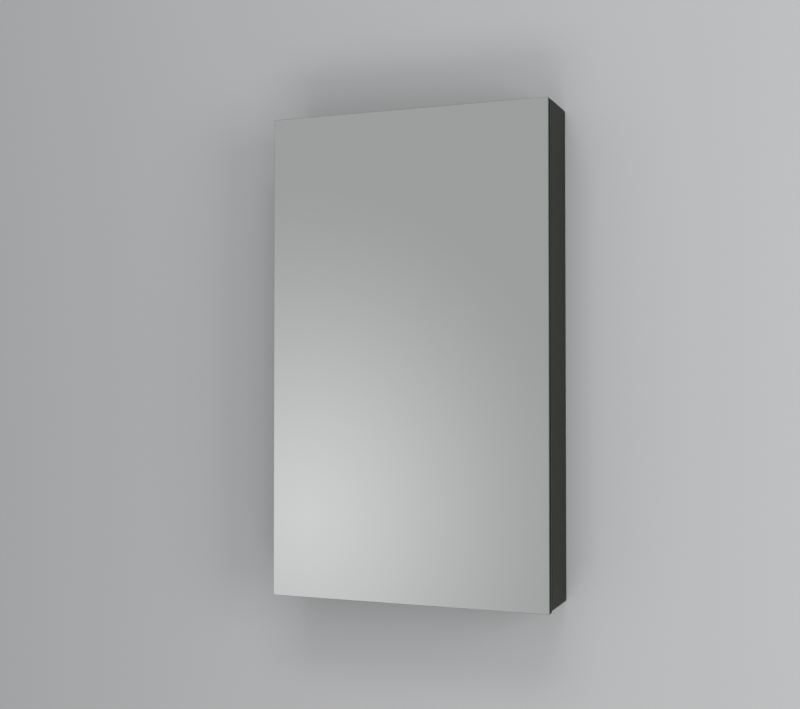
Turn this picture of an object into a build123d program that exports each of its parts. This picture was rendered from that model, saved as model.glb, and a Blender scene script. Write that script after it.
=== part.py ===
from build123d import *
from math import atan2, degrees, hypot, sqrt
import os

# Bathroom mirror cabinet with one mirrored door, hung on the left by two concealed cup hinges.
# Millimetres. Origin: middle of the four wall screws, on the wall. X right, Y into the wall, Z up.

# Case
case_width = 400.0
case_depth = 79.5
case_height = 672.5
board = 16.0
board_round = 0.8
back_thickness = 3.0
back_space = 16.0
groove_depth = 6.0
groove_play = 0.15

# Glued dowels in the four case corners
dowel_radius = 4.0
dowel_length = 30.0
dowel_in_side = 11.0
dowel_front = 22.0
dowel_back = 6.5
dowel_chamfer = 0.8
dowel_play = 0.05
dowel_end_play = 1.0

# Door: front mirror, core board, inner mirror
front_glass = 4.0
core_thickness = 7.0
inner_glass = 3.0
glass_arris = 0.6
core_inset = 0.5
door_gap = 2.5
door_overhang = 2.5

# Shelves and their supports
shelf_thickness = 5.0
shelf_side_play = 1.0
shelf_depth = 52.0
shelf_corner = 4.0
shelf_arris = 0.5
shelf_thirds = 3
support_hole_radius = 2.5
support_hole_depth = 10.0
support_play = 0.05
support_peg_length = 8.0
support_front = 18.0
support_back = 13.0
support_step = 32.0
support_steps_each_way = 1
support_collar_radius = 5.5
support_collar = 1.5
tongue_length = 9.0
tongue_width = 8.0
tongue_height = 4.0
pad_thickness = 1.0
pad_inset = 0.6

# Wall plates and the hooks that hang on them
screw_beside_hook = 15.5
screw_spacing_up = 32.0
wall_hole_radius = 3.0
plate_width = 36.0
plate_thickness = 2.0
plate_margin = 11.0
plate_step = 5.0
plate_lip = 12.0
plate_round = 4.0
hook_thickness = 2.5
hook_neck = 10.0
hook_tail = 16.0
hook_tail_length = 28.0
hook_nose_drop = 9.0
hook_wall_play = 1.2
hook_lip_play = 0.4
hook_below_top = 32.0
hook_slot_width = 9.0
hook_slot_play = 3.0
hanger_width = 17.0
hanger_depth = 36.0
hanger_above_hook = 14.0
hanger_height = 48.0
hanger_wall = 1.8
hanger_round = 2.0
guide_rib = 2.0
guide_play = 0.2
guide_short = 8.0
peg_radius = 5.0
peg_length = 11.0
peg_spacing = 32.0
peg_above_bottom = 9.0
peg_back = 14.0
adjuster_radius = 3.0
adjuster_play = 0.2
adjuster_proud = 1.0
depth_adjuster_play = 0.3
height_adjuster_length = 24.0
height_adjuster_drop = 16.0

# Hinges: heights, cup and pivot positions seen from above
hinge_from_end = 100.0
cup_radius = 17.5
cup_edge = 3.0
cup_depth = 9.8
cup_play = 0.1
cup_wall = 1.2
cup_floor = 0.6
pocket_half = 8.6
rim_relief = 0.8
rim_relief_depth = 3.0
flange_thickness = 1.2
flange_margin = 1.0
flange_ear = 6.5
ear_spacing = 45.0
ear_offset = 9.5
outer_arm_pin_across = 14.7
outer_arm_pin_back = -0.8
inner_arm_pin_across = 21.6
inner_arm_pin_back = 3.0
outer_cup_pin_across = -8.8
outer_cup_pin_deep = 1.2
inner_cup_pin_across = -10.2
inner_cup_pin_deep = 6.8
pin_radius = 1.0
arm_pin_radius = 1.25
pin_play = 0.06
pin_bite = 1.5
link_slot = 3.0
link_slot_play = 0.45
link_slot_shift = 0.15
link_half = 2.0
eye_wall = 1.2
cup_eye_wall = 1.0
inner_link_half = 3.9
inner_link_bulge = 2.6
outer_link_bulge = 1.2
link_plate = 1.5
link_play = 0.3
arm_sheet = 1.4
arm_back_gap = 4.5
arm_low = 2.6
spine_height = 5.3
spine_margin = 10.0
wing_thickness = 2.2
wing_length = 48.0
wing_width = 11.0
plate_line = 37.0
plate_screw_spacing = 32.0
arm_screw_end = 6.0
arm_screw_behind_bend = 8.75

# Screws: head radius, head height, shank radius, shank length
plate_screw = (4.6, 1.4, 2.45, 12.0)
arm_screw = (3.6, 2.0, 2.0, 6.0)
cup_screw = (3.5, 1.2, 1.7, 9.0)
recess_length = 3.6
recess_width = 0.9
recess_depth = 0.9
screw_play = 0.05
cup_dowel_radius = 4.0
cup_dowel_length = 9.0

# Buffers on the case edge that the closed door meets
buffer_radius = 4.0
buffer_play = 0.3
buffer_from_end = 40.0

# Planes of the case
left = -case_width / 2
right = case_width / 2
inner_left = left + board
inner_right = right - board
front = -case_depth
back_front = -back_space - back_thickness
hook_level = screw_spacing_up / 2 + plate_margin + plate_step + plate_lip + hook_neck / 2
case_top = hook_level + hook_below_top
case_bottom = case_top - case_height
inner_top = case_top - board
inner_bottom = case_bottom + board

# Planes of the door
door_back = front - door_gap
core_back = door_back - inner_glass
core_front = core_back - core_thickness
door_front = core_front - front_glass
door_bottom = case_bottom - door_overhang

# Places shared by several pieces
hinge_levels = {"upper": case_top - hinge_from_end, "lower": case_bottom + hinge_from_end}
inner_height = inner_top - inner_bottom
shelf_levels = {
    "lower": inner_bottom + inner_height / shelf_thirds,
    "upper": inner_top - inner_height / shelf_thirds,
}
support_drop = pad_thickness + tongue_height / 2
support_rows = (front + support_front, back_front - support_back)
cup_x = left + cup_edge + cup_radius
arm_rear = back_front - arm_back_gap
outer_arm_pin = (inner_left + outer_arm_pin_across, front + outer_arm_pin_back)
inner_arm_pin = (inner_left + inner_arm_pin_across, front + inner_arm_pin_back)
outer_cup_pin = (cup_x + outer_cup_pin_across, door_back - outer_cup_pin_deep)
inner_cup_pin = (cup_x + inner_cup_pin_across, door_back - inner_cup_pin_deep)
arm_eye = arm_pin_radius + 2 * eye_wall
arm_rise = inner_arm_pin[1] + 2 * arm_eye
arm_bend = arm_rise + 3 * arm_eye
plate_near = inner_link_half + link_play
plate_far = plate_near + link_plate
cheek_near = plate_far + link_play
cheek_far = cheek_near + arm_sheet
web_top = wing_thickness + spine_height + arm_sheet
peg_levels = [hook_level + hanger_above_hook - hanger_height + peg_above_bottom + n * peg_spacing
              for n in range(2)]
hook_x = inner_right - hanger_width / 2
screw_spacing_across = 2 * (hook_x - screw_beside_hook)


def block(x, y, z):
    """Box between a low and a high value on each axis."""
    size = [high - low for low, high in (x, y, z)]
    middle = [(high + low) / 2 for low, high in (x, y, z)]
    return Pos(*middle) * Box(*size)


def rod_x(x0, x1, y, z, radius):
    """Round bar along X."""
    return Pos((x0 + x1) / 2, y, z) * Rot(0, 90, 0) * Cylinder(radius, abs(x1 - x0))


def rod_y(y0, y1, x, z, radius):
    """Round bar along Y."""
    return Pos(x, (y0 + y1) / 2, z) * Rot(90, 0, 0) * Cylinder(radius, abs(y1 - y0))


def rod_z(z0, z1, x, y, radius):
    """Round bar along Z."""
    return Pos(x, y, (z0 + z1) / 2) * Cylinder(radius, abs(z1 - z0))


def group(solids):
    """Like pieces kept as separate solids of one node."""
    return Compound(children=list(solids))


def both_sides(piece):
    """A right-hand piece and its mirror image."""
    return [piece, mirror(piece, Plane.YZ)]


def screw(size):
    """Screw along +Z with the underside of its head at the origin, shank pointing down."""
    head_radius, head_height, shank_radius, length = size
    head = extrude(Circle(head_radius), head_height)
    head = chamfer(head.edges().group_by(Axis.Z)[-1], head_height * 0.4)
    recess = Box(recess_length, recess_width, 2 * recess_depth)
    recess += Box(recess_width, recess_length, 2 * recess_depth)
    shank = extrude(Circle(shank_radius), -length)
    shank = chamfer(shank.edges().group_by(Axis.Z)[0], shank_radius * 0.4)
    return head + shank - Pos(0, 0, head_height) * recess


def back_groove(x, z):
    """Cutter for the groove that takes the back panel: its edges plus the play round it."""
    return block(x, (back_front - groove_play, -back_space + groove_play), z)


def dowel_places():
    """Level and depth of the dowels in one side panel."""
    levels = (case_top - board / 2, case_bottom + board / 2)
    depths = (front + dowel_front, back_front - dowel_back)
    return [(z, y) for z in levels for y in depths]


def side_panel():
    """Right side panel, full height, drilled from its inner face."""
    panel = block((inner_right, right), (front, 0), (case_bottom, case_top))
    panel = chamfer(panel.edges().filter_by(Axis.Z).group_by(Axis.X)[-1], board_round)
    groove_x = (inner_right - 1, inner_right + groove_depth)
    groove_z = (inner_bottom - groove_depth, inner_top + groove_depth)
    panel -= back_groove(groove_x, groove_z)
    for z, y in dowel_places():
        depth = dowel_in_side + dowel_end_play / 2
        panel -= rod_x(inner_right, inner_right + depth, y, z, dowel_radius + dowel_play)
    for level in shelf_levels.values():
        for step in range(-support_steps_each_way, support_steps_each_way + 1):
            z = level - support_drop + step * support_step
            for y in support_rows:
                end = inner_right + support_hole_depth
                panel -= rod_x(inner_right, end, y, z, support_hole_radius)
    for z in peg_levels:
        end = inner_right + peg_length + dowel_end_play
        panel -= rod_x(inner_right, end, back_front - peg_back, z, peg_radius + dowel_play)
    return panel


def hinge_side_panel():
    """Left side panel: the mirror image, with pilot holes for the hinge plates."""
    panel = mirror(side_panel(), Plane.YZ)
    for level in hinge_levels.values():
        for way in (-1, 1):
            z = level + way * plate_screw_spacing / 2
            end = inner_left - plate_screw[3]
            panel -= rod_x(end, inner_left, front + plate_line, z, plate_screw[2] + screw_play)
    return panel


def cross_panel(low, high, groove_z):
    """Top or bottom board between the sides, grooved for the back and bored for dowels."""
    panel = block((inner_left, inner_right), (front, 0), (low, high))
    panel -= back_groove((inner_left - 1, inner_right + 1), groove_z)
    bore = dowel_length - dowel_in_side + dowel_end_play / 2
    middle = (low + high) / 2
    for z, y in dowel_places():
        if abs(z - middle) < board / 2:
            hole = rod_x(inner_right - bore, inner_right, y, z, dowel_radius + dowel_play)
            panel -= hole
            panel -= mirror(hole, Plane.YZ)
    return panel


def corner_dowels():
    """Beech dowels, half in the side panels and half in the cross panels."""
    dowels = []
    for z, y in dowel_places():
        end = inner_right + dowel_in_side
        dowel = rod_x(end - dowel_length, end, y, z, dowel_radius)
        dowels += both_sides(chamfer(dowel.edges().filter_by(GeomType.CIRCLE), dowel_chamfer))
    return group(dowels)


def back_panel():
    """Back board in its groove, with a slot for each hook."""
    reach = groove_depth - groove_play
    panel = block(
        (inner_left - reach, inner_right + reach),
        (back_front, -back_space),
        (inner_bottom - reach, inner_top + reach),
    )
    low = hook_level - hook_neck / 2 - hook_nose_drop - hook_slot_play
    high = hook_level + hook_neck / 2 + hook_slot_play
    half = hook_slot_width / 2
    slot = block((hook_x - half, hook_x + half), (back_front - 1, -back_space + 1), (low, high))
    for cut in both_sides(slot):
        panel -= cut
    return panel


def glass_shelf(level):
    """Clear shelf with rounded front corners and ground edges, lying on its pads."""
    half = (inner_right - inner_left) / 2 - shelf_side_play
    rear = back_front - shelf_side_play
    shelf = block((-half, half), (rear - shelf_depth, rear), (level, level + shelf_thickness))
    corners = shelf.edges().filter_by(Axis.Z).group_by(Axis.Y)[0]
    shelf = fillet(corners, shelf_corner)
    return chamfer(shelf.edges().filter_by(Plane.XY), shelf_arris)


def shelf_supports():
    """Support pegs: a peg in the side, a collar against it and a tongue under the glass."""
    supports = []
    for level in shelf_levels.values():
        z = level - support_drop
        for y in support_rows:
            collar_end = inner_right - support_collar
            peg_end = inner_right + support_peg_length
            peg = rod_x(inner_right, peg_end, y, z, support_hole_radius - support_play)
            collar = rod_x(collar_end, inner_right, y, z, support_collar_radius)
            tongue = block(
                (collar_end - tongue_length, collar_end),
                (y - tongue_width / 2, y + tongue_width / 2),
                (z - tongue_height / 2, z + tongue_height / 2),
            )
            tongue = fillet(tongue.edges().filter_by(Axis.Z).group_by(Axis.X)[0], tongue_width / 4)
            room = block((inner_left, inner_right), (y - board, y + board), (level, level + board))
            supports += both_sides(peg + (collar - room) + tongue)
    return group(supports)


def shelf_pads():
    """Soft pads between the tongues and the glass."""
    pads = []
    for level in shelf_levels.values():
        for y in support_rows:
            end = inner_right - support_collar - pad_inset
            half = tongue_width / 2 - pad_inset
            pad = block(
                (end - tongue_length + 2 * pad_inset, end),
                (y - half, y + half),
                (level - pad_thickness, level),
            )
            pad = fillet(pad.edges().filter_by(Axis.Z), half / 2)
            pads += both_sides(pad)
    return group(pads)


def wall_plate():
    """Steel plate screwed to the wall, its upper lip stepped forward for the hook."""
    foot = -screw_spacing_up / 2 - plate_margin
    step = screw_spacing_up / 2 + plate_margin
    lip = step + plate_step
    top = lip + plate_lip
    bend = plate_thickness * (sqrt(2) - 1)
    face_room = -plate_thickness
    profile = Plane.YZ * make_face(Polyline(
        (0, foot),
        (0, step),
        (-plate_step, lip),
        (-plate_step, top),
        (-plate_step - plate_thickness, top),
        (-plate_step - plate_thickness, lip - bend),
        (face_room, step - bend),
        (face_room, foot),
        close=True,
    ))
    centre = screw_spacing_across / 2
    plate = Pos(centre, 0, 0) * extrude(profile, plate_width / 2, both=True)
    corners = plate.edges().filter_by(Axis.Y).group_by(Axis.Z)
    plate = fillet(corners[0] + corners[-1], plate_round)
    for way in (-1, 1):
        z = way * screw_spacing_up / 2
        plate -= rod_y(face_room - 1, 1, centre, z, wall_hole_radius)
    return plate


def hanger_body():
    """Moulded housing in the case corner, open to the back, on two pegs in the side panel."""
    low_x = inner_right - hanger_width
    top = hook_level + hanger_above_hook
    bottom = top - hanger_height
    face = back_front - hanger_depth
    body = block((low_x, inner_right), (face, back_front), (bottom, top))
    body = fillet(body.edges().filter_by(Axis.Z).group_by(Axis.Y)[0].sort_by(Axis.X)[0], hanger_round)
    body -= block(
        (low_x + hanger_wall, inner_right - hanger_wall),
        (face + hanger_wall, back_front),
        (bottom + hanger_wall, top - hanger_wall),
    )
    guide_gap = hook_thickness / 2 + guide_play
    for edge, wall in ((hook_x - guide_gap, low_x), (hook_x + guide_gap, inner_right)):
        body += block(
            (min(edge, wall), max(edge, wall)),
            (face + guide_short, back_front),
            (hook_level - guide_rib / 2, hook_level + guide_rib / 2),
        )
    for drop in (0, height_adjuster_drop):
        hole = adjuster_radius + adjuster_play
        body -= rod_y(face, face + hanger_wall, hook_x, hook_level - drop, hole)
    for z in peg_levels:
        body += rod_x(inner_right, inner_right + peg_length, back_front - peg_back, z, peg_radius)
    return body


def hanger_hook():
    """Steel hook plate: tail in the housing, neck through the back, nose behind the lip."""
    tail = hook_tail / 2
    neck = hook_neck / 2
    nose_wall = -hook_wall_play
    nose_room = -plate_step + hook_lip_play
    profile = Plane.YZ * make_face(Polyline(
        (back_front - hook_tail_length, -tail),
        (back_front - hook_tail_length, tail),
        (back_front - hook_wall_play, tail),
        (back_front - hook_wall_play, neck),
        (nose_wall, neck),
        (nose_wall, -neck - hook_nose_drop),
        (nose_room, -neck - hook_nose_drop),
        (nose_room, -neck),
        (back_front - hook_wall_play, -neck),
        (back_front - hook_wall_play, -tail),
        close=True,
    ))
    hook = extrude(profile, hook_thickness / 2, both=True)
    outer = hook.edges().filter_by(Axis.X).group_by(Axis.Y)
    hook = fillet(outer[0] + outer[-1].sort_by(Axis.Z)[-1], hook_neck / 4)
    return Pos(hook_x, 0, hook_level) * hook


def hanger_adjusters():
    """Depth screw on the hook's tail and height screw below it, their heads at the front."""
    face = back_front - hanger_depth - adjuster_proud
    depth_length = back_front - hook_tail_length - depth_adjuster_play - face
    screws = []
    for drop, length in ((0, depth_length), (height_adjuster_drop, height_adjuster_length)):
        piece = rod_y(face, face + length, hook_x, hook_level - drop, adjuster_radius)
        slot = block(
            (hook_x - recess_length / 2, hook_x + recess_length / 2),
            (face, face + recess_depth),
            (hook_level - drop - recess_width / 2, hook_level - drop + recess_width / 2),
        )
        screws += both_sides(piece - slot)
    return group(screws)


def mounting_plate():
    """Cross-shaped hinge plate: wings for the two side screws and a spine for the arm."""
    line = front + plate_line
    wing = extrude(Plane.YZ * SlotOverall(wing_length, wing_width, rotation=90), wing_thickness)
    wing = Pos(inner_left, line, 0) * wing
    half = cheek_near - link_play
    spine = block(
        (inner_left, inner_left + wing_thickness + spine_height),
        (arm_screw_places()[1] - spine_margin, arm_rear),
        (-half, half),
    )
    spine = chamfer(spine.edges().filter_by(Axis.Z).group_by(Axis.X)[-1], board_round)
    plate = wing + spine
    for way in (-1, 1):
        z = way * plate_screw_spacing / 2
        plate -= rod_x(inner_left, inner_left + board, line, z, plate_screw[2] + screw_play)
    for y in arm_screw_places():
        plate -= rod_x(inner_left, inner_left + board, y, 0, arm_screw[2] + screw_play)
    return plate


def arm_screw_places():
    """Depths of the fixing screw and the side adjusting screw."""
    return (arm_rear - arm_screw_end, arm_bend + arm_screw_behind_bend)


def plate_screws():
    """Euro screws that hold the mounting plates."""
    pieces = []
    for level in hinge_levels.values():
        for way in (-1, 1):
            z = level + way * plate_screw_spacing / 2
            place = Pos(inner_left + wing_thickness, front + plate_line, z) * Rot(0, 90, 0)
            pieces.append(place * screw(plate_screw))
    return group(pieces)


def arm_screws():
    """Fixing and adjusting screws through the webs of the arms."""
    pieces = []
    for level in hinge_levels.values():
        for y in arm_screw_places():
            pieces.append(Pos(inner_left + web_top, y, level) * Rot(0, 90, 0) * screw(arm_screw))
    return group(pieces)


def hinge_arm():
    """Folded steel arm: a channel over the plate that rises to the two fixed pivots."""
    eye = arm_eye
    nose_right = inner_arm_pin[0] + link_slot + eye + arm_sheet
    nose_low = inner_arm_pin[1] - eye
    outline = FilletPolyline(
        (inner_left + web_top, arm_rear),
        (inner_left + web_top, arm_bend),
        (nose_right, arm_rise),
        (nose_right, nose_low),
        (outer_arm_pin[0] + eye, nose_low),
        (outer_arm_pin[0] + eye / 2, outer_arm_pin[1] - eye),
        (outer_arm_pin[0] - eye, outer_arm_pin[1] - eye),
        (outer_arm_pin[0] - eye, arm_rise),
        (inner_left + arm_low, arm_bend),
        (inner_left + arm_low, arm_rear),
        radius=eye / 3,
        close=True,
    )
    side = make_face(outline)
    skin = side - offset(side, -arm_sheet)
    shade = make_face(Polyline(
        (inner_left + (arm_low + web_top) / 2, arm_rear - arm_sheet),
        (inner_left + (arm_low + web_top) / 2, arm_bend),
        (nose_right - 2 * eye, arm_rise),
        (nose_right - eye / 2, nose_low + eye / 2),
        (nose_right + eye, nose_low + eye / 2),
        (nose_right + eye, arm_rear - arm_sheet),
        close=True,
    ))
    web = extrude(skin & shade, cheek_near, both=True)
    cheek = Pos(0, 0, cheek_near) * extrude(side, arm_sheet)
    arm = web + cheek + mirror(cheek, Plane.XY)
    for x, y in (outer_arm_pin, inner_arm_pin):
        arm -= rod_z(-board, board, x, y, arm_pin_radius)
    for y in arm_screw_places():
        low = inner_left + web_top - 2 * arm_sheet
        arm -= rod_x(low, inner_left + web_top + 1, y, 0, arm_screw[2] + screw_play)
    return arm


def outer_link():
    """Two thin plates from the arm's outer pin to the cup's outer pin."""
    bar = link_bar(outer_arm_pin, outer_cup_pin, outer_link_bulge)
    for (x, y), radius in ((outer_arm_pin, arm_pin_radius), (outer_cup_pin, pin_radius)):
        bar += Pos(x, y) * Circle(radius + pin_play + 1.5 * eye_wall)
    for (x, y), radius in ((outer_arm_pin, arm_pin_radius), (outer_cup_pin, pin_radius)):
        bar -= Pos(x, y) * Circle(radius + pin_play)
    plate = Pos(0, 0, plate_near) * extrude(bar, link_plate)
    return [plate, mirror(plate, Plane.XY)]


def inner_link():
    """Cast middle link: round eye on the cup's pin, long eye on the arm's pin."""
    across = inner_arm_pin[0] - inner_cup_pin[0]
    deep = inner_arm_pin[1] - inner_cup_pin[1]
    length = hypot(across, deep)
    turn = degrees(atan2(deep, across))
    slot_half = arm_pin_radius + link_slot_play
    slot_x = inner_cup_pin[0] + across * (1 + link_slot / 2 / length)
    slot_y = inner_cup_pin[1] + deep * (1 + link_slot / 2 / length)
    slot_place = Pos(slot_x, slot_y) * Rot(0, 0, turn) * Pos(0, link_slot_shift)
    cup_place = Pos(*inner_cup_pin)
    bar = link_bar(inner_cup_pin, (slot_x, slot_y), -inner_link_bulge)
    bar += slot_place * SlotCenterToCenter(link_slot, 2 * (slot_half + eye_wall))
    bar += cup_place * Circle(pin_radius + pin_play + cup_eye_wall)
    bar -= slot_place * SlotCenterToCenter(link_slot, 2 * slot_half)
    bar -= cup_place * Circle(pin_radius + pin_play)
    return extrude(bar, inner_link_half, both=True)


def link_bar(start, end, bulge):
    """Curved strip between two pivots, bowed to the left of its run by the bulge."""
    across = end[0] - start[0]
    deep = end[1] - start[1]
    length = hypot(across, deep)
    middle = (
        (start[0] + end[0]) / 2 - deep / length * bulge,
        (start[1] + end[1]) / 2 + across / length * bulge,
    )
    return SlotArc(ThreePointArc(start, middle, end), 2 * link_half)


def arm_pins():
    """Rivets of the outer link and through pins of the inner link, in the arms."""
    pins = []
    for level in hinge_levels.values():
        x, y = outer_arm_pin
        rivet = rod_z(plate_near, cheek_far, x, y, arm_pin_radius)
        pins += [Pos(0, 0, level) * piece for piece in (rivet, mirror(rivet, Plane.XY))]
        x, y = inner_arm_pin
        pins.append(Pos(0, 0, level) * rod_z(-cheek_far, cheek_far, x, y, arm_pin_radius))
    return group(pins)


def cup_pins():
    """Rivets of the outer link and through pins of the inner link, in the cups."""
    pins = []
    far = pocket_half + pin_bite
    for level in hinge_levels.values():
        x, y = outer_cup_pin
        rivet = rod_z(plate_near, far, x, y, pin_radius)
        pins += [Pos(0, 0, level) * piece for piece in (rivet, mirror(rivet, Plane.XY))]
        x, y = inner_cup_pin
        pins.append(Pos(0, 0, level) * rod_z(-far, far, x, y, pin_radius))
    return group(pins)


def ear_places():
    """Cup screw places round the hinge level."""
    return [(cup_x + ear_offset, way * ear_spacing / 2) for way in (-1, 1)]


def hinge_cup():
    """Pressed cup with its flange on the inner mirror and a pocket for the links."""
    body = rod_y(door_back - cup_depth, door_back, cup_x, 0, cup_radius)
    rings = [Pos(cup_x, 0) * Circle(cup_radius + flange_margin)]
    rings += [Pos(*place) * Circle(flange_ear) for place in ear_places()]
    outline = make_hull([edge for ring in rings for edge in ring.edges()])
    flange = Pos(0, door_back, 0) * extrude(Plane.XZ * outline, -flange_thickness)
    pocket_deep = door_back - cup_depth + cup_floor
    pocket = rod_y(pocket_deep, door_back + 2 * flange_thickness, cup_x, 0, cup_radius - cup_wall)
    pocket &= block(
        (cup_x - cup_radius, cup_x + cup_radius),
        (pocket_deep, door_back + 2 * flange_thickness),
        (-pocket_half, pocket_half),
    )
    relief_reach = cup_radius - cup_wall + rim_relief
    relief_half = inner_link_half + 2 * link_play
    pocket += block(
        (cup_x - relief_reach, cup_x + relief_reach),
        (door_back - rim_relief_depth, door_back + 2 * flange_thickness),
        (-relief_half, relief_half),
    )
    cup = body + flange - pocket
    for x, z in ear_places():
        cup -= rod_y(door_back, door_back + flange_thickness, x, z, cup_screw[2] + screw_play)
    for x, y in (outer_cup_pin, inner_cup_pin):
        far = pocket_half + pin_bite
        cup -= rod_z(-far, far, x, y, pin_radius)
    return cup


def cup_dowels():
    """Plastic dowels pressed into the door for the cup screws."""
    pieces = []
    for level in hinge_levels.values():
        for x, z in ear_places():
            dowel = rod_y(door_back - cup_dowel_length, door_back, x, level + z, cup_dowel_radius)
            shank = cup_screw[2] + screw_play
            pieces.append(dowel - rod_y(door_back - cup_screw[3], door_back, x, level + z, shank))
    return group(pieces)


def cup_screws():
    """Screws through the cup flanges."""
    pieces = []
    for level in hinge_levels.values():
        for x, z in ear_places():
            place = Pos(x, door_back + flange_thickness, level + z) * Rot(-90, 0, 0)
            pieces.append(place * screw(cup_screw))
    return group(pieces)


def door_sheet(near, far, inset):
    """Plain sheet of the door between two depths."""
    return block(
        (left + inset, right - inset),
        (near, far),
        (door_bottom + inset, case_top - inset),
    )


def cut_for_cups(sheet):
    """Cuts the cup and dowel holes of both hinges through a sheet of the door."""
    for level in hinge_levels.values():
        sheet -= rod_y(core_front, door_back, cup_x, level, cup_radius + cup_play)
        for x, z in ear_places():
            hole = cup_dowel_radius + dowel_play
            sheet -= rod_y(door_back - cup_dowel_length, door_back, x, level + z, hole)
    return sheet


def front_mirror():
    """Front mirror glass, its front edges ground to a fine arris."""
    sheet = door_sheet(door_front, core_front, 0)
    return chamfer(sheet.edges().group_by(Axis.Y)[0], glass_arris)


def inner_mirror():
    """Mirror glass on the inside of the door, drilled for the hinges."""
    sheet = door_sheet(core_back, door_back, 0)
    return cut_for_cups(chamfer(sheet.edges().group_by(Axis.Y)[-1], glass_arris))


def door_core():
    """Black core board between the two mirrors, set back a little from their edges."""
    return cut_for_cups(door_sheet(core_front, core_back, core_inset))


def door_buffers():
    """Clear silicone domes on the right side panel's front edge."""
    height = door_gap - buffer_play
    x = right - board / 2
    domes = []
    for z in (case_top - buffer_from_end, case_bottom + buffer_from_end):
        dome = rod_y(front - height, front, x, z, buffer_radius)
        rim = dome.edges().filter_by(GeomType.CIRCLE).group_by(Axis.Y)[0]
        domes.append(fillet(rim, height * 0.7))
    return group(domes)


def pieces():
    """Every node of the cabinet by name."""
    made = {
        "side_panel_left": hinge_side_panel(),
        "side_panel_right": side_panel(),
        "top_panel": cross_panel(inner_top, case_top, (inner_top - 1, inner_top + groove_depth)),
        "bottom_panel": cross_panel(
            case_bottom, inner_bottom, (inner_bottom - groove_depth, inner_bottom + 1)
        ),
        "back_panel": back_panel(),
        "corner_dowels": corner_dowels(),
        "shelf_supports": shelf_supports(),
        "shelf_pads": shelf_pads(),
        "hanger_adjusters": hanger_adjusters(),
        "plate_screws": plate_screws(),
        "arm_screws": arm_screws(),
        "arm_pins": arm_pins(),
        "cup_pins": cup_pins(),
        "cup_dowels": cup_dowels(),
        "cup_screws": cup_screws(),
        "front_mirror": front_mirror(),
        "door_core": door_core(),
        "inner_mirror": inner_mirror(),
        "door_buffers": door_buffers(),
    }
    for where, level in shelf_levels.items():
        made[f"glass_shelf_{where}"] = glass_shelf(level)
    hanging = {"wall_plate": wall_plate(), "hanger_body": hanger_body(), "hanger_hook": hanger_hook()}
    for name, piece in hanging.items():
        made[f"{name}_right"] = piece
        made[f"{name}_left"] = mirror(piece, Plane.YZ)
    for where, level in hinge_levels.items():
        place = Pos(0, 0, level)
        made[f"mounting_plate_{where}"] = place * mounting_plate()
        made[f"hinge_arm_{where}"] = place * hinge_arm()
        made[f"outer_link_{where}"] = group([place * plate for plate in outer_link()])
        made[f"inner_link_{where}"] = place * inner_link()
        made[f"hinge_cup_{where}"] = place * hinge_cup()
    return made


os.makedirs("parts", exist_ok=True)
for name, piece in pieces().items():
    export_step(piece, f"parts/{name}.step")
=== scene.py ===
import math

import bpy
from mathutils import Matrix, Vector


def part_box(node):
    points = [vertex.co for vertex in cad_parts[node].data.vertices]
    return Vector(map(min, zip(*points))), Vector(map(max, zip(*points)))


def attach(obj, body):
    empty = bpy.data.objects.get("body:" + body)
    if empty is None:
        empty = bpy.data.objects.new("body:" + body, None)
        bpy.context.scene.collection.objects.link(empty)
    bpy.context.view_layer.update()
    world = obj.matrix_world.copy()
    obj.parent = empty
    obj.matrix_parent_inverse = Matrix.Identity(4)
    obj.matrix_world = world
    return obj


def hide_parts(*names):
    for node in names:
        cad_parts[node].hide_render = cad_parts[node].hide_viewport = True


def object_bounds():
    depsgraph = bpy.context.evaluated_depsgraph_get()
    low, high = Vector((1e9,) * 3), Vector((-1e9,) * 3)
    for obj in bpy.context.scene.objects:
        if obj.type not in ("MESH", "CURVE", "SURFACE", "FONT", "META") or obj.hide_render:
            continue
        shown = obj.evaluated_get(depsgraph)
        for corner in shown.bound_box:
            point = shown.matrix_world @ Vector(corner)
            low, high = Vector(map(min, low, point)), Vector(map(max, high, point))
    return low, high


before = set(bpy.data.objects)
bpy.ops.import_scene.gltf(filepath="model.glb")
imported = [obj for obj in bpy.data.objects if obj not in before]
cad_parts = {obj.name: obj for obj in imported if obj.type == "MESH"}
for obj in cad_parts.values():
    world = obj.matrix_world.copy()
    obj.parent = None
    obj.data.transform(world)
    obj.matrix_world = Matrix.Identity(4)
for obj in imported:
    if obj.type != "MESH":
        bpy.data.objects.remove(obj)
cad_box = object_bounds()


# The camera stands to the right of the cabinet and a little below its middle, and looks
# slightly up at it.

camera_data = bpy.data.cameras.new("camera")
camera_data.sensor_fit = "HORIZONTAL"
camera_data.sensor_width = 36.0
camera_data.lens = 53.915
camera = bpy.data.objects.new("camera", camera_data)
camera.location = (0.58376, -1.61916, -0.28816)
camera.rotation_euler = (math.radians(91.1675), 0.0, math.radians(21.2166))
bpy.context.scene.collection.objects.link(camera)
bpy.context.scene.camera = camera
bpy.context.scene.view_settings.view_transform = "Standard"


# Studio: a painted wall that the cabinet hangs on and a pale floor well below it. Both are seen
# from their front only, and light for the cabinet passes through them.

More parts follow.
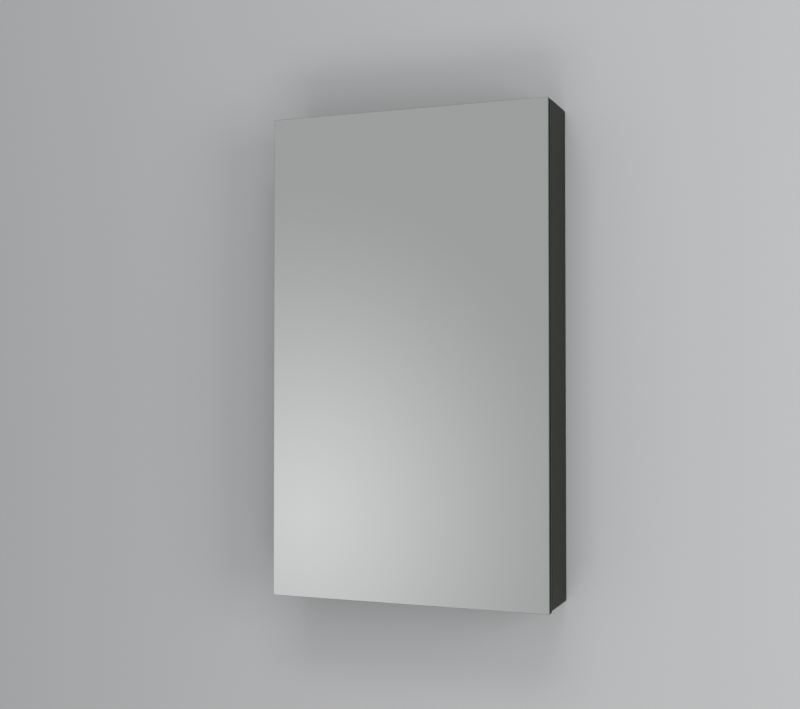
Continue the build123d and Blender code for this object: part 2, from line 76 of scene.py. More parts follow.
class Wire:
    """One output in a node tree. Sums, products and powers of wires become Math nodes."""

    def __init__(self, web, socket):
        self.web = web
        self.socket = socket

    def maths(self, operation, *values):
        return self.web.add("ShaderNodeMath", {"operation": operation}, dict(enumerate(values)))

    def __add__(self, other):
        return self.maths("ADD", self, other)

    __radd__ = __add__

    def __sub__(self, other):
        return self.maths("SUBTRACT", self, other)

    def __rsub__(self, other):
        return self.maths("SUBTRACT", other, self)

    def __mul__(self, other):
        return self.maths("MULTIPLY", self, other)

    __rmul__ = __mul__

    def __truediv__(self, other):
        return self.maths("DIVIDE", self, other)

    def __rtruediv__(self, other):
        return self.maths("DIVIDE", other, self)

    def __pow__(self, other):
        return self.maths("POWER", self, other)

    def __gt__(self, other):
        return self.maths("GREATER_THAN", self, other)

    def __lt__(self, other):
        return self.maths("LESS_THAN", self, other)

    def __abs__(self):
        return self.maths("ABSOLUTE", self)

    def most(self, other):
        return self.maths("MAXIMUM", self, other)

    def least(self, other):
        return self.maths("MINIMUM", self, other)


class Web:
    """One node tree. add() sets a node's settings, then its sockets, and hands back an output."""

    def __init__(self, tree):
        self.tree = tree

    def add(self, kind, settings=None, sockets=None, out=0):
        node = self.tree.nodes.new(kind)
        for name, value in (settings or {}).items():
            if name == "stops":
                ramp = node.color_ramp
                ramp.elements[-1].position, ramp.elements[-1].color = value[-1]
                ramp.elements[0].position, ramp.elements[0].color = value[0]
                for position, colour in value[1:-1]:
                    ramp.elements.new(position).color = colour
            else:
                setattr(node, name, value)
        for key, value in (sockets or {}).items():
            if isinstance(value, Wire):
                self.tree.links.new(value.socket, node.inputs[key])
            else:
                node.inputs[key].default_value = value
        return Wire(self, node.outputs[out]) if node.outputs else None


def shade(red, green, blue, alpha=1.0):
    """A screen colour of 0 to 255 as the linear colour that a socket takes."""
    parts = [level / 255 for level in (red, green, blue)]
    linear = [p / 12.92 if p <= 0.04045 else ((p + 0.055) / 1.055) ** 2.4 for p in parts]
    return tuple(linear) + (alpha,)


class Finish(Web):
    """A material. Patterns read the piece's own coordinates, in metres."""

    def __init__(self, name):
        self.material = bpy.data.materials.new(name)
        self.material.use_nodes = True
        super().__init__(self.material.node_tree)
        self.tree.nodes.clear()
        self.place = self.add("ShaderNodeTexCoord", out="Object")
        self.facing = self.add("ShaderNodeTexCoord", out="Normal")

    def along(self, vector, axis):
        return self.add("ShaderNodeSeparateXYZ", sockets={0: vector}, out=axis)

    def stretched(self, x, y, z):
        return self.add("ShaderNodeMapping", sockets={"Vector": self.place, "Scale": (x, y, z)})

    def noise(self, scale, detail=2.0, rough=0.5, where=None):
        return self.add("ShaderNodeTexNoise", sockets={
            "Vector": where or self.place, "Scale": scale, "Detail": detail, "Roughness": rough,
        })

    def rise(self, value, low, high):
        """0 at low, 1 at high and smooth between, also where high is the smaller value."""
        return self.add("ShaderNodeMapRange", {"interpolation_type": "SMOOTHSTEP"},
                        {"Value": value, "From Min": low, "From Max": high})

    def tint(self, factor, first, second):
        return self.add("ShaderNodeMix", {"data_type": "RGBA"},
                        {0: factor, 6: first, 7: second}, out=2)

    def relief(self, height, depth, strength=1.0, under=None):
        values = {"Height": height, "Distance": depth, "Strength": strength}
        if under:
            values["Normal"] = under
        return self.add("ShaderNodeBump", sockets=values)

    def surface(self, **values):
        """Principled surface; the names of its sockets are written with underscores."""
        sockets = {name.replace("_", " "): value for name, value in values.items()}
        shader = self.add("ShaderNodeBsdfPrincipled", sockets=sockets)
        self.add("ShaderNodeOutputMaterial", sockets={"Surface": shader})
        return self.material


def seen_from_front(name, colour, mottle):
    """Matt paint seen from the front only, and in reflections only beside the cabinet."""
    paint = Finish(name)
    cloud = paint.noise(1.3, 3.0)
    roller = paint.noise(420.0, 2.0)
    base = paint.tint(cloud, colour, tuple(part * mottle for part in colour[:3]) + (1.0,))
    coat = paint.add("ShaderNodeBsdfPrincipled", sockets={
        "Base Color": base, "Roughness": 0.9, "Specular IOR Level": 0.2,
        "Normal": paint.relief(roller, 0.0004, 0.15),
    })
    camera_ray = paint.add("ShaderNodeLightPath", out="Is Camera Ray")
    glossy_ray = paint.add("ShaderNodeLightPath", out="Is Glossy Ray")
    through_ray = paint.add("ShaderNodeLightPath", out="Is Transmission Ray")
    back = paint.add("ShaderNodeNewGeometry", out="Backfacing")
    beside = (abs(paint.along(paint.place, 0)) > cad_box[1].x).most(
        paint.along(paint.place, 2) > cad_box[1].z).most(
        paint.along(paint.place, 2) < cad_box[0].z)
    seen = camera_ray.most(glossy_ray.most(through_ray) * beside) * (1 - back)
    clear = paint.add("ShaderNodeBsdfTransparent")
    both = paint.add("ShaderNodeMixShader", sockets={0: seen, 1: clear, 2: coat})
    paint.add("ShaderNodeOutputMaterial", sockets={"Surface": both})
    return paint.material


def sheet(name, corners, material):
    """Flat sheet of the studio through its corners, which run anticlockwise as seen."""
    mesh = bpy.data.meshes.new(name)
    mesh.from_pydata(corners, [], [tuple(range(len(corners)))])
    mesh.materials.append(material)
    piece = bpy.data.objects.new(name, mesh)
    bpy.context.scene.collection.objects.link(piece)
    return piece


wall_plane = 0.0005
floor_level = -1.6
room_half = 4.0
room_top = 2.4
floor_depth = 3.4
wall_colour = shade(176, 177, 178)
floor_colour = shade(196, 196, 195)
sheet(
    "studio_wall",
    [(-room_half, wall_plane, floor_level), (room_half, wall_plane, floor_level),
     (room_half, wall_plane, room_top), (-room_half, wall_plane, room_top)],
    seen_from_front("wall_paint", wall_colour, 0.985),
)
sheet(
    "studio_floor",
    [(-room_half, -floor_depth, floor_level), (room_half, -floor_depth, floor_level),
     (room_half, wall_plane, floor_level), (-room_half, wall_plane, floor_level)],
    seen_from_front("floor_paint", floor_colour, 0.97),
)


# Light: wide soft lamps above, below and to the right, and a room that shows in the mirror as
# plain grey with one soft bright area low on the left.

def lamp(name, place, aim, width, height, power):
    """Rectangular soft lamp that faces a point."""
    data = bpy.data.lights.new(name, "AREA")
    data.shape = "RECTANGLE"
    data.size = width
    data.size_y = height
    data.energy = power
    piece = bpy.data.objects.new(name, data)
    piece.location = place
    piece.rotation_euler = (Vector(aim) - Vector(place)).to_track_quat("-Z", "Y").to_euler()
    piece.visible_camera = False
    bpy.context.scene.collection.objects.link(piece)
    return piece


middle = (0.0, 0.0, -0.25)
lamp("lamp_above", (0.25, -1.5, 1.35), middle, 1.5, 0.6, 15.5)
lamp("lamp_below", (0.25, -1.5, -1.45), middle, 1.6, 0.6, 11.5)
lamp("lamp_right", (1.7, -1.1, -0.25), (0.8, 0.0, -0.25), 0.8, 1.2, 15.0)

room_light = 0.56
room_grey = 157.0
glow_gain = 49.0
glow_direction = (-0.431, -0.895, -0.113)
glow_spread = (1 / 0.236, 1 / 0.236, 1 / 0.272)
silver_reflectance = 0.704
screen_gamma = 2.2
horizon = 0.4
overhead = 0.85
ceiling_gain = 1.2
ground_loss = 0.5
plain_background = 0.66

world = bpy.data.worlds.new("room")
world.use_nodes = True
bpy.context.scene.world = world
room = Web(world.node_tree)
room.tree.nodes.clear()
looking = room.add("ShaderNodeTexCoord", out="Generated")
away = room.add("ShaderNodeVectorMath", {"operation": "SUBTRACT"}, {0: looking, 1: glow_direction})
away = room.add("ShaderNodeVectorMath", {"operation": "MULTIPLY"}, {0: away, 1: glow_spread})
reach = room.add("ShaderNodeVectorMath", {"operation": "LENGTH"}, {0: away}, out="Value")
near = (1 - reach).most(0.0)
soft = near * near * (3 - 2 * near)
glow = 0.5 * (near + soft)
height = room.add("ShaderNodeSeparateXYZ", sockets={0: looking}, out="Z")
ceiling = room.add("ShaderNodeMapRange", {"interpolation_type": "SMOOTHSTEP"},
                   {"Value": height, "From Min": horizon, "From Max": overhead})
ground = room.add("ShaderNodeMapRange", {"interpolation_type": "SMOOTHSTEP"},
                  {"Value": height, "From Min": -horizon, "From Max": -overhead})
mirrored = ((room_grey + glow_gain * glow) / 255) ** screen_gamma / silver_reflectance
mirrored = mirrored * (1 + ceiling_gain * ceiling - ground_loss * ground)
glossy = room.add("ShaderNodeLightPath", out="Is Glossy Ray")
seen_straight = room.add("ShaderNodeLightPath", out="Is Camera Ray")
unmirrored = room_light + (plain_background - room_light) * seen_straight
level = glossy * mirrored + (1 - glossy) * unmirrored
background = room.add("ShaderNodeBackground", sockets={"Strength": level})
room.add("ShaderNodeOutputWorld", sockets={"Surface": background})


# Case: two sides, top and bottom of 16 mm board with a matt anthracite facing. The front edges
# carry a thin strip of the same facing, and the rear edges are raw board.

def dress(material, *nodes):
    """Gives a finish to CAD nodes."""
    for name in nodes:
        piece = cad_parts[name]
        for holder in piece.material_slots:
            holder.material = material


def raw_chip(finish):
    """Colour of a sawn chipboard edge: pale and dark chips pressed flat."""
    chips = finish.add("ShaderNodeTexVoronoi", {"feature": "F1"},
                       {"Vector": finish.stretched(1.0, 1.0, 2.2), "Scale": 620.0}, out="Color")
    mix = finish.along(chips, 0)
    return finish.tint(mix, shade(150, 118, 82), shade(96, 70, 46))


case_front = -0.0795
edge_strip = 0.0008
melamine = Finish("anthracite_melamine")
pearl = melamine.noise(1500.0, 3.0, 0.6)
cloud = melamine.noise(9.0, 2.0)
anthracite = melamine.tint(cloud, shade(36, 36, 29), shade(33, 33, 26))
anthracite = melamine.tint(melamine.rise(pearl, 0.55, 0.75) * 0.35, anthracite, shade(50, 50, 46))
depth = melamine.along(melamine.place, 1)
joint = 1 - melamine.rise(abs(depth - (case_front + edge_strip)), 0.00004, 0.00012)
anthracite = melamine.tint(joint * 0.6, anthracite, shade(30, 30, 27))
rear = melamine.rise(melamine.along(melamine.facing, 1), 0.8, 0.95)
melamine_finish = melamine.surface(
    Base_Color=melamine.tint(rear, anthracite, raw_chip(melamine)),
    Roughness=0.56 + 0.08 * pearl + 0.3 * rear,
    Specular_IOR_Level=0.22,
    Normal=melamine.relief(pearl, 0.00004, 0.6),
)
dress(melamine_finish, "side_panel_left", "side_panel_right", "top_panel", "bottom_panel")


# Back: thin hardboard slid into grooves, faced anthracite inside and bare brown fibre behind,
# with a slot for each hook.

hardboard = Finish("faced_hardboard")
fibre = hardboard.noise(1100.0, 4.0, 0.7)
felt = hardboard.noise(60.0, 3.0, 0.6)
bare = hardboard.tint(fibre * 0.6 + felt * 0.4, shade(104, 74, 48), shade(138, 104, 70))
inside = 1 - hardboard.rise(hardboard.along(hardboard.facing, 1), -0.95, -0.8)
hardboard_finish = hardboard.surface(
    Base_Color=hardboard.tint(inside, bare, shade(42, 42, 37)),
    Roughness=0.9 - 0.3 * inside,
    Specular_IOR_Level=0.25,
    Normal=hardboard.relief(fibre, 0.00008, 0.5),
)
dress(hardboard_finish, "back_panel")


# Corner dowels: eight turned beech dowels glued half into the sides and half into the top and
# bottom boards. Fine flutes along each let the glue spread.

def grown(name, build, inputs, places, material):
    """Runs a Geometry Nodes tree on a mesh of places and hands back the result as a plain mesh.

    build(web, sockets) gets the tree and its named inputs and returns the geometry to repeat
    at every place; inputs holds the value of each named input.
    """
    tree = bpy.data.node_groups.new(name, "GeometryNodeTree")
    tree.interface.new_socket("Geometry", in_out="INPUT", socket_type="NodeSocketGeometry")
    tree.interface.new_socket("Geometry", in_out="OUTPUT", socket_type="NodeSocketGeometry")
    keys = {}
    for label, value in inputs.items():
        kind = "NodeSocketVector" if isinstance(value, tuple) else "NodeSocketFloat"
        keys[label] = tree.interface.new_socket(label, in_out="INPUT", socket_type=kind).identifier
    web = Web(tree)
    entry = tree.nodes.new("NodeGroupInput")
    sockets = {label: Wire(web, entry.outputs[label]) for label in inputs}
    one = build(web, sockets)
    copies = web.add("GeometryNodeInstanceOnPoints", sockets={
        "Points": Wire(web, entry.outputs["Geometry"]), "Instance": one,
        "Rotation": sockets["Turn"],
    })
    real = web.add("GeometryNodeRealizeInstances", sockets={0: copies})
    painted = web.add("GeometryNodeSetMaterial", sockets={"Geometry": real, "Material": material})
    web.add("NodeGroupOutput", sockets={0: painted})

    points = bpy.data.meshes.new(name + "_places")
    points.from_pydata(places, [], [])
    maker = bpy.data.objects.new(name + "_maker", points)
    bpy.context.scene.collection.objects.link(maker)
    step = maker.modifiers.new(name, "NODES")
    step.node_group = tree
    for label, value in inputs.items():
        step[keys[label]] = value
    ready = maker.evaluated_get(bpy.context.evaluated_depsgraph_get())
    mesh = bpy.data.meshes.new_from_object(ready)
    bpy.data.objects.remove(maker)
    piece = bpy.data.objects.new(name, mesh)
    bpy.context.scene.collection.objects.link(piece)
    return piece


def solid_boxes(node):
    """Low and high corner of the box round each solid of a CAD node, in order of height."""
    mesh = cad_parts[node].data
    corners = [tuple(round(part, 6) for part in vertex.co) for vertex in mesh.vertices]
    owner = {}

    def root(key):
        while owner[key] != key:
            owner[key] = owner[owner[key]]
            key = owner[key]
        return key

    for key in corners:
        owner.setdefault(key, key)
    for face in mesh.polygons:
        keys = [corners[index] for index in face.vertices]
        for key in keys[1:]:
            owner[root(key)] = root(keys[0])
    merged = {}
    for key in owner:
        merged.setdefault(root(key), []).append(key)
    boxes = []
    for keys in merged.values():
        low = [min(key[axis] for key in keys) for axis in range(3)]
        high = [max(key[axis] for key in keys) for axis in range(3)]
        boxes.append((Vector(low), Vector(high)))
    return sorted(boxes, key=lambda box: (round(box[0].z, 4), round(box[0].y, 4), box[0].x))


beech = Finish("turned_beech")
rings = beech.noise(260.0, 3.0, 0.6, beech.stretched(0.12, 1.0, 1.0))
pores = beech.noise(1400.0, 2.0, 0.6, beech.stretched(0.05, 1.0, 1.0))
beech_finish = beech.surface(
    Base_Color=beech.tint(rings, shade(206, 170, 128), shade(176, 136, 94)),
    Roughness=0.62 + 0.12 * pores,
    Normal=beech.relief(pores, 0.00006, 0.5),
)


def fluted_dowel(web, given):
    """Dowel along Z with flutes round it and a bevel at both ends."""
    path = web.add("GeometryNodeCurvePrimitiveLine", sockets={
        "Start": web.add("ShaderNodeCombineXYZ", sockets={"Z": given["Length"] * -0.5}),
        "End": web.add("ShaderNodeCombineXYZ", sockets={"Z": given["Length"] * 0.5}),
    })
    path = web.add("GeometryNodeResampleCurve", sockets={"Curve": path, "Count": 31})
    where = web.add("GeometryNodeSplineParameter", out="Factor")
    from_end = where.least(1 - where) * given["Length"]
    narrow = 1 - (given["Bevel"] - from_end).most(0.0) / given["Radius"]
    path = web.add("GeometryNodeSetCurveRadius", sockets={"Curve": path, "Radius": narrow})
    star = web.add("GeometryNodeCurveStar", sockets={
        "Points": 20, "Inner Radius": given["Radius"] - given["Flute"],
        "Outer Radius": given["Radius"],
    })
    return web.add("GeometryNodeCurveToMesh", sockets={
        "Curve": path, "Profile Curve": star, "Scale": narrow, "Fill Caps": True,
    })


def replace_with(piece, node, body):
    """The piece stands for a CAD node on its body."""
    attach(piece, body)
    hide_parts(node)


dowel_radius = 0.004
dowel_flute = 0.0003
dowel_bevel = 0.0008
dowel_boxes = solid_boxes("corner_dowels")
dowels = grown(
    "beech_dowels", fluted_dowel,
    {"Length": dowel_boxes[0][1].x - dowel_boxes[0][0].x, "Radius": dowel_radius,
     "Flute": dowel_flute, "Bevel": dowel_bevel, "Turn": (0.0, math.pi / 2, 0.0)},
    [(low + high) / 2 for low, high in dowel_boxes], beech_finish,
)
replace_with(dowels, "corner_dowels", "case")


# Wall plates and hooks: zinc-plated steel. Each plate is screwed to the wall through two holes,
# and the hook from the case drops behind its stepped lip.

zinc = Finish("bright_zinc")
spangle = zinc.add("ShaderNodeTexVoronoi", {"feature": "F1"},
                   {"Vector": zinc.place, "Scale": 240.0}, out="Color")
spangle = zinc.along(spangle, 0)
haze = zinc.noise(38.0, 4.0, 0.6)
rolled = zinc.noise(1600.0, 2.0, 0.5, zinc.stretched(1.0, 1.0, 0.08))
zinc_colour = zinc.tint(haze, shade(206, 209, 214), shade(186, 188, 186))
zinc_finish = zinc.surface(
    Base_Color=zinc.tint(spangle * 0.12, zinc_colour, shade(150, 160, 178)),
    Metallic=1.0,
    Roughness=0.3 + 0.14 * haze + 0.06 * spangle,
    Normal=zinc.relief(rolled, 0.00002, 0.6),
)
dress(zinc_finish, "wall_plate_left", "wall_plate_right", "hanger_hook_left", "hanger_hook_right")


# Hanger housings: moulded dark grey plastic in the upper rear corners of the case, pressed onto
# two pegs in each side.

moulded = Finish("moulded_plastic")
spark = moulded.noise(2600.0, 2.0, 0.6)
flow = moulded.noise(24.0, 2.0)
moulded_finish = moulded.surface(
    Base_Color=moulded.tint(flow, shade(60, 60, 57), shade(54, 54, 51)),
    Roughness=0.48 + 0.1 * spark,
    Specular_IOR_Level=0.45,
    Normal=moulded.relief(spark, 0.00003, 0.7),
)
dress(moulded_finish, "hanger_body_left", "hanger_body_right")


# Hanger adjusters: threaded steel screws with a slotted end at the front. The upper one of each
# pair sets the depth of the hook, the lower one its height.

def threaded_rod(web, given):
    """Rod along Z with a slot at its +Z end and a thread below."""
    half = given["Length"] * 0.5
    core = web.add("GeometryNodeMeshCylinder", sockets={
        "Vertices": 36, "Radius": given["Radius"] - given["Thread"], "Depth": given["Length"],
    })
    end = web.add("GeometryNodeMeshCylinder", sockets={
        "Vertices": 36, "Radius": given["Radius"] * 0.97, "Depth": given["Slot"] * 2,
    })
    end = web.add("GeometryNodeTransform", sockets={
        "Geometry": end,
        "Translation": web.add("ShaderNodeCombineXYZ", sockets={"Z": half - given["Slot"]}),
    })
    slot = web.add("GeometryNodeMeshCube", sockets={
        "Size": web.add("ShaderNodeCombineXYZ", sockets={
            "X": given["Radius"] * 3, "Y": given["Radius"] * 0.32, "Z": given["Slot"] * 2}),
    })
    slot = web.add("GeometryNodeTransform", sockets={
        "Geometry": slot, "Translation": web.add("ShaderNodeCombineXYZ", sockets={"Z": half}),
    })
    joined = web.add("GeometryNodeMeshBoolean", {"operation": "UNION", "solver": "EXACT"})
    for part in (core, end):
        web.tree.links.new(part.socket, joined.socket.node.inputs[1])
    cut = web.add("GeometryNodeMeshBoolean", {"operation": "DIFFERENCE", "solver": "EXACT"},
                  {"Mesh 1": joined, "Mesh 2": slot})
    run = given["Length"] - 3 * given["Slot"]
    root_radius = given["Radius"] - given["Thread"]
    spiral = web.add("GeometryNodeCurveSpiral", sockets={
        "Resolution": 20, "Rotations": run / given["Pitch"], "Start Radius": root_radius,
        "End Radius": root_radius, "Height": run,
    })
    spiral = web.add("GeometryNodeTransform", sockets={
        "Geometry": spiral,
        "Translation": web.add("ShaderNodeCombineXYZ", sockets={"Z": 0.0 - half}),
    })
    ridge = web.add("GeometryNodeCurvePrimitiveCircle", sockets={
        "Resolution": 4, "Radius": given["Thread"],
    })
    thread = web.add("GeometryNodeCurveToMesh", sockets={
        "Curve": spiral, "Profile Curve": ridge, "Fill Caps": True,
    })
    both = web.add("GeometryNodeJoinGeometry")
    for part in (cut, thread):
        web.tree.links.new(part.socket, both.socket.node.inputs[0])
    return both


adjuster_boxes = solid_boxes("hanger_adjusters")
adjuster_radius = 0.003
adjuster_thread = 0.0004
adjuster_slot = 0.0009
adjuster_pitch = 0.001
short_limit = min(high.y - low.y for low, high in adjuster_boxes) + 0.002
for label, picked in (
    ("depth_adjusters", [box for box in adjuster_boxes if box[1].y - box[0].y < short_limit]),
    ("height_adjusters", [box for box in adjuster_boxes if box[1].y - box[0].y >= short_limit]),
):
    adjusters = grown(
        label, threaded_rod,
        {"Length": picked[0][1].y - picked[0][0].y, "Radius": adjuster_radius,
         "Thread": adjuster_thread, "Slot": adjuster_slot, "Pitch": adjuster_pitch,
         "Turn": (math.pi / 2, 0.0, 0.0)},
        [(low + high) / 2 for low, high in picked], zinc_finish,
    )
    replace_with(adjusters, "hanger_adjusters", "case")


# Shelf supports: nickel-plated pegs pushed into the rows of holes, each with a tongue under the
# glass and a clear pad on the tongue.

nickel = Finish("nickel_plate")
brushed = nickel.noise(900.0, 3.0, 0.55, nickel.stretched(1.0, 1.0, 0.06))
smear = nickel.noise(55.0, 3.0, 0.6)
nickel_finish = nickel.surface(
    Base_Color=nickel.tint(smear, shade(212, 208, 200), shade(196, 191, 182)),
    Metallic=1.0,
    Roughness=0.2 + 0.1 * smear + 0.06 * brushed,
    Normal=nickel.relief(brushed, 0.00001, 0.5),
)
polish = Finish("polished_nickel")
bloom = polish.noise(70.0, 3.0)
polish_finish = polish.surface(
    Base_Color=polish.tint(bloom, shade(222, 219, 212), shade(208, 204, 196)),
    Metallic=1.0,
    Roughness=0.1 + 0.08 * bloom,
)
dress(polish_finish, "shelf_supports")

silicone = Finish("clear_silicone")
cloudy = silicone.noise(300.0, 2.0)
silicone_finish = silicone.surface(
    Base_Color=silicone.tint(cloudy, shade(226, 228, 226), shade(214, 217, 214)),
    Roughness=0.32 + 0.1 * cloudy,
    Transmission_Weight=0.4,
    IOR=1.41,
)
dress(silicone_finish, "shelf_pads", "door_buffers")


# Shelves: two sheets of 5 mm clear float glass with rounded front corners. The faces are
# polished, and the ground edges look green because light travels through the sheet.

float_glass = Finish("clear_float_glass")
flat = float_glass.rise(abs(float_glass.along(float_glass.facing, 2)), 0.9, 0.99)
ground = float_glass.noise(1800.0, 2.0)
float_glass_finish = float_glass.surface(
    Base_Color=float_glass.tint(flat, shade(120, 176, 156), shade(240, 248, 244)),
    Roughness=(1 - flat) * (0.22 + 0.12 * ground),
    Transmission_Weight=1.0,
    IOR=1.52,
    Normal=float_glass.relief(ground * (1 - flat), 0.00002, 0.4),
)
dress(float_glass_finish, "glass_shelf_upper", "glass_shelf_lower")


# Hinges: pressed and nickel-plated steel. The plate is screwed to the left side, the folded arm
# sits on it, and two links join the arm to a cup sunk in the door.

dress(nickel_finish, "mounting_plate_upper", "mounting_plate_lower", "hinge_arm_upper",
      "hinge_arm_lower", "outer_link_upper", "outer_link_lower", "hinge_cup_upper",
      "hinge_cup_lower")

cast = Finish("cast_nickel")
skin = cast.noise(1300.0, 3.0, 0.6)
cast_finish = cast.surface(
    Base_Color=cast.tint(skin, shade(198, 194, 186), shade(176, 172, 165)),
    Metallic=1.0,
    Roughness=0.32 + 0.12 * skin,
    Normal=cast.relief(skin, 0.00003, 0.6),
)
dress(cast_finish, "inner_link_upper", "inner_link_lower")

pin_steel = Finish("ground_steel")
turning = pin_steel.noise(2200.0, 2.0, 0.5, pin_steel.stretched(0.1, 0.1, 1.0))
pin_finish = pin_steel.surface(
    Base_Color=pin_steel.tint(turning, shade(176, 177, 178), shade(156, 157, 158)),
    Metallic=1.0,
    Roughness=0.28 + 0.12 * turning,
    Normal=pin_steel.relief(turning, 0.00001, 0.4),
)
dress(pin_finish, "arm_pins", "cup_pins")


# Screws of the hinges: pan heads with a cross recess on coarse threads. The plate screws bite in
# the side, the arm screws clamp and adjust the arm, and the cup screws bite in plastic dowels.

def cross_screw(web, given):
    """Screw along Z, the underside of its head at the origin, with a cross in its head."""
    head_height = given["Head height"]
    rim = web.add("GeometryNodeMeshCylinder", sockets={
        "Vertices": 40, "Radius": given["Head radius"], "Depth": head_height * 0.5,
    })
    rim = web.add("GeometryNodeTransform", sockets={
        "Geometry": rim,
        "Translation": web.add("ShaderNodeCombineXYZ", sockets={"Z": head_height * 0.25}),
    })
    dome = web.add("GeometryNodeMeshCone", sockets={
        "Vertices": 40, "Side Segments": 1, "Radius Bottom": given["Head radius"],
        "Radius Top": given["Head radius"] * 0.72, "Depth": head_height * 0.5,
    })
    dome = web.add("GeometryNodeTransform", sockets={
        "Geometry": dome,
        "Translation": web.add("ShaderNodeCombineXYZ", sockets={"Z": head_height * 0.499}),
    })
    head = web.add("GeometryNodeMeshBoolean", {"operation": "UNION", "solver": "EXACT"})
    for part in (rim, dome):
        web.tree.links.new(part.socket, head.socket.node.inputs[1])
    reach = given["Head radius"] * 0.95
    width = given["Head radius"] * 0.24
    deep = head_height * 0.75
    bars = []
    for turned in (0.0, math.pi / 2):
        bar = web.add("GeometryNodeMeshCube", sockets={
            "Size": web.add("ShaderNodeCombineXYZ", sockets={
                "X": reach, "Y": width, "Z": deep * 2}),
        })
        bars.append(web.add("GeometryNodeTransform", sockets={
            "Geometry": bar, "Rotation": (0.0, 0.0, turned),
            "Translation": web.add("ShaderNodeCombineXYZ", sockets={"Z": head_height}),
        }))
    point = web.add("GeometryNodeMeshCone", sockets={
        "Vertices": 8, "Radius Bottom": width * 0.4, "Radius Top": width * 1.2, "Depth": deep * 2,
    })
    point = web.add("GeometryNodeTransform", sockets={
        "Geometry": point,
        "Translation": web.add("ShaderNodeCombineXYZ", sockets={"Z": head_height - deep}),
    })
    head = web.add("GeometryNodeMeshBoolean", {"operation": "DIFFERENCE", "solver": "EXACT"},
                   {"Mesh 1": head})
    for part in bars + [point]:
        web.tree.links.new(part.socket, head.socket.node.inputs[1])
    core_radius = given["Shank radius"] - given["Thread"]
    shank = web.add("GeometryNodeMeshCone", sockets={
        "Vertices": 32, "Side Segments": 1, "Radius Bottom": core_radius * 0.8,
        "Radius Top": core_radius, "Depth": given["Shank length"],
    })
    shank = web.add("GeometryNodeTransform", sockets={
        "Geometry": shank,
        "Translation": web.add("ShaderNodeCombineXYZ", sockets={"Z": 0.0 - given["Shank length"]}),
    })
    run = given["Shank length"] * 0.86
    spiral = web.add("GeometryNodeCurveSpiral", sockets={
        "Resolution": 20, "Rotations": run / given["Pitch"], "Start Radius": core_radius * 0.92,
        "End Radius": core_radius, "Height": run,
    })
    spiral = web.add("GeometryNodeTransform", sockets={
        "Geometry": spiral,
        "Translation": web.add("ShaderNodeCombineXYZ", sockets={
            "Z": given["Shank length"] * -0.95}),
    })
    ridge = web.add("GeometryNodeCurvePrimitiveCircle", sockets={
        "Resolution": 4, "Radius": given["Thread"],
    })
    thread = web.add("GeometryNodeCurveToMesh", sockets={
        "Curve": spiral, "Profile Curve": ridge, "Fill Caps": True,
    })
    whole = web.add("GeometryNodeJoinGeometry")
    for part in (head, shank, thread):
        web.tree.links.new(part.socket, whole.socket.node.inputs[0])
    return whole


screw_thread = 0.0003
to_the_right = (0.0, math.pi / 2, 0.0)
to_the_wall = (-math.pi / 2, 0.0, 0.0)
for node, body, direction, seat_axis, head_radius, head_height, shank_radius, length, pitch in (
    ("plate_screws", "case", to_the_right, 0, 0.0046, 0.0014, 0.00245, 0.012, 0.0022),
    ("arm_screws", "case", to_the_right, 0, 0.0036, 0.0020, 0.0020, 0.006, 0.0007),
    ("cup_screws", "door", to_the_wall, 1, 0.0035, 0.0012, 0.0017, 0.009, 0.0016),
):
    seats = []
    for low, high in solid_boxes(node):
        seat = (low + high) / 2
        seat[seat_axis] = high[seat_axis] - head_height
        seats.append(tuple(seat))
    screws = grown(
        node.replace("screws", "cross_screws"), cross_screw,
        {"Head radius": head_radius, "Head height": head_height, "Shank radius": shank_radius,
         "Shank length": length, "Thread": screw_thread, "Pitch": pitch, "Turn": direction},
        seats, nickel_finish,
    )
    replace_with(screws, node, body)


# Cup dowels: black plastic dowels pressed into the door, which the cup screws spread.

dress(moulded_finish, "cup_dowels")


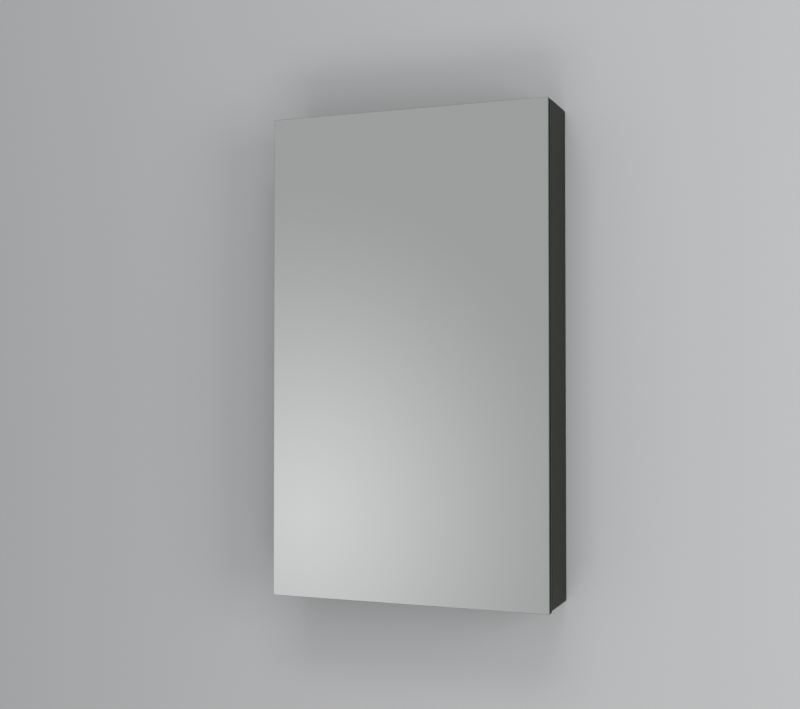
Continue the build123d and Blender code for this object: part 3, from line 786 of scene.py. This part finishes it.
# Door: a black core board between a 4 mm mirror in front and a 3 mm mirror inside. The edges
# are ground glass, dark green with a paler arris and a line of the near-black backing paint.

core_board = Finish("black_core_board")
strand = core_board.noise(1500.0, 4.0, 0.7)
core_finish = core_board.surface(
    Base_Color=core_board.tint(strand, shade(15, 17, 15), shade(28, 29, 26)),
    Roughness=0.78 + 0.15 * strand,
    Specular_IOR_Level=0.15,
    Normal=core_board.relief(strand, 0.0001, 0.5),
)
dress(core_finish, "door_core")


glass_arris = 0.0006


def silvered(name, face, back):
    """Mirror glass between its bright face and its painted back, given as depths in Y."""
    glass = Finish(name)
    depth = glass.along(glass.place, 1)
    side = 1.0 if face > back else -1.0
    bright = glass.rise(glass.along(glass.facing, 1) * side, 0.9, 0.99)
    hidden = glass.rise(glass.along(glass.facing, 1) * side, -0.9, -0.99)
    below = abs(depth - face)
    line = glass.rise(below, glass_arris - 0.0001, glass_arris + 0.0001)
    bevel = (1 - line) * (1 - bright)
    thick = abs(back - face)
    paint = glass.rise(below, thick - 0.00025, thick - 0.00015)
    grit = glass.noise(2400.0, 2.0, 0.6)
    streak = glass.noise(500.0, 2.0, 0.5, glass.stretched(0.05, 1.0, 0.05))
    edge = glass.tint(streak, shade(12, 32, 23), shade(22, 44, 34))
    edge = glass.tint(bevel, edge, shade(112, 140, 128))
    edge = glass.tint(paint, edge, shade(32, 35, 32))
    edge = glass.tint(hidden, edge, shade(26, 29, 27))
    return glass.surface(
        Base_Color=glass.tint(bright, edge, (0.86, 0.875, 0.87, 1.0)),
        Metallic=bright,
        Roughness=(1 - bright) * (0.2 + 0.25 * bevel + 0.2 * grit + 0.3 * hidden),
        Specular_IOR_Level=0.2,
        Normal=glass.relief(grit * (1 - bright), 0.00002, 0.4),
    )


front_low, front_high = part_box("front_mirror")
dress(silvered("front_mirror_glass", front_low.y, front_high.y), "front_mirror")
inner_low, inner_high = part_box("inner_mirror")
dress(silvered("inner_mirror_glass", inner_high.y, inner_low.y), "inner_mirror")
